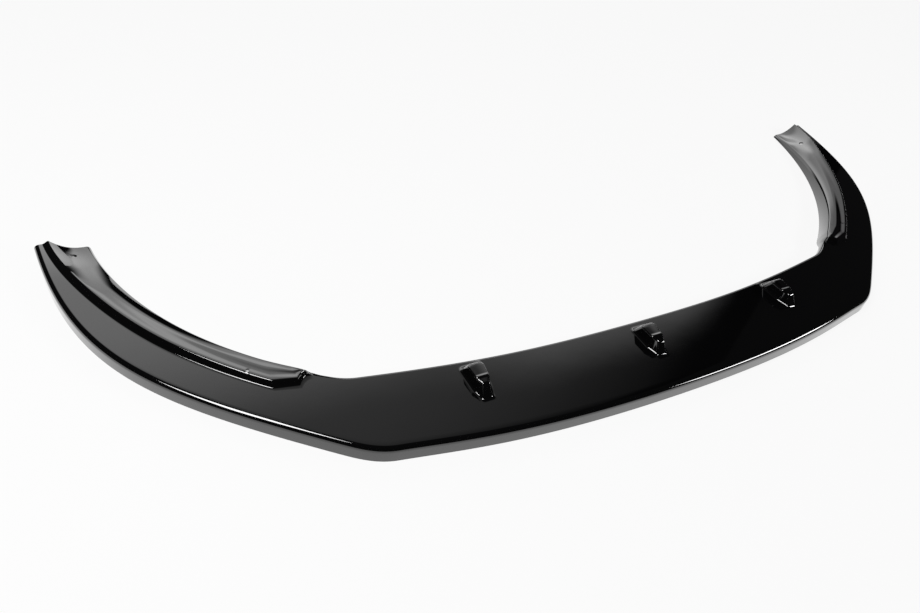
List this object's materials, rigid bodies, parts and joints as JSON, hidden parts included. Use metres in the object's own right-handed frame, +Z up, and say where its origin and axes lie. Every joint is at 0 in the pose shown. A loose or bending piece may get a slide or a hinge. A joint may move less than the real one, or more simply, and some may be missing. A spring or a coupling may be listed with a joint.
{
  "type": "front splitter lip",
  "caption": "Moulded gloss black front splitter lip for a car bumper: flat blade, turned-down edge, swept-back wings with raised screw flanges, and small moulded fins.",
  "frame": {"origin": "centre of the part's footprint, at the bottom edge of the lip", "axes": "+X across the car towards the right-hand wing in the picture, +Y towards the rear of the car, +Z up"},
  "size_m": [1.74, 0.6, 0.047],
  "materials": {
    "gloss_black_plastic": "high gloss"
  },
  "bodies": {
    "root": {"splitter_lip": "gloss_black_plastic"}
  },
  "joints": []
}
